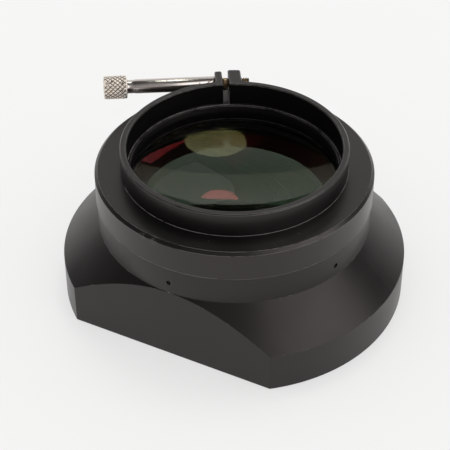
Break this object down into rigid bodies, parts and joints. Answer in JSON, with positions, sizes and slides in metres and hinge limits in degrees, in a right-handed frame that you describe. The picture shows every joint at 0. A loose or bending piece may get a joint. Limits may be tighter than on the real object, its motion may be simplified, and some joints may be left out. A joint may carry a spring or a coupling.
{
  "type": "wide angle converter lens",
  "caption": "Black metal converter lens with a flared front housing, two flats, a coated glass group and a split clamp collar closed by a long knurled thumbscrew.",
  "frame": {"origin": "centre of the footprint on the surface that the front rim rests on; x = y = 0 is the optical axis", "axes": "+Z along the optical axis towards the clamp collar and the camera, +Y normal to one of the two flats, +X along the flats"},
  "size_m": [0.1413, 0.1108, 0.0681],
  "materials": {
    "anodised_housing": "satin black anodised",
    "anodised_flange": "satin black anodised",
    "plated_steel": "nickel plated, turned and knurled",
    "anodised_bezel": "matt black anodised",
    "anodised_ring": "matt black anodised",
    "blackened_steel": "blackened",
    "coated_glass": "polished, green and magenta anti-reflection coatings"
  },
  "bodies": {
    "converter": {"front_housing": "anodised_housing", "rear_flange": "anodised_flange", "grub_screw_1": "blackened_steel", "grub_screw_2": "blackened_steel", "grub_screw_3": "blackened_steel", "grub_screw_4": "blackened_steel", "grub_screw_5": "blackened_steel", "front_lens": "coated_glass", "front_bezel": "anodised_bezel", "bezel_screw_1": "blackened_steel", "bezel_screw_2": "blackened_steel", "bezel_screw_3": "blackened_steel", "bezel_screw_4": "blackened_steel", "bezel_screw_5": "blackened_steel", "bezel_screw_6": "blackened_steel", "bezel_screw_7": "blackened_steel", "bezel_screw_8": "blackened_steel", "rear_crown_lens": "coated_glass", "rear_flint_lens": "coated_glass", "rear_retaining_ring": "anodised_ring"},
    "thumbscrew": {"thumbscrew": "plated_steel"}
  },
  "joints": [
    {"name": "thumbscrew_turn", "type": "hinge", "parent": "converter", "child": "thumbscrew", "pos_m": [-0.02562, 0.04177, 0.0632], "axis": [-0.8524, -0.5229, 0], "range_deg": [-720, 720]}
  ]
}
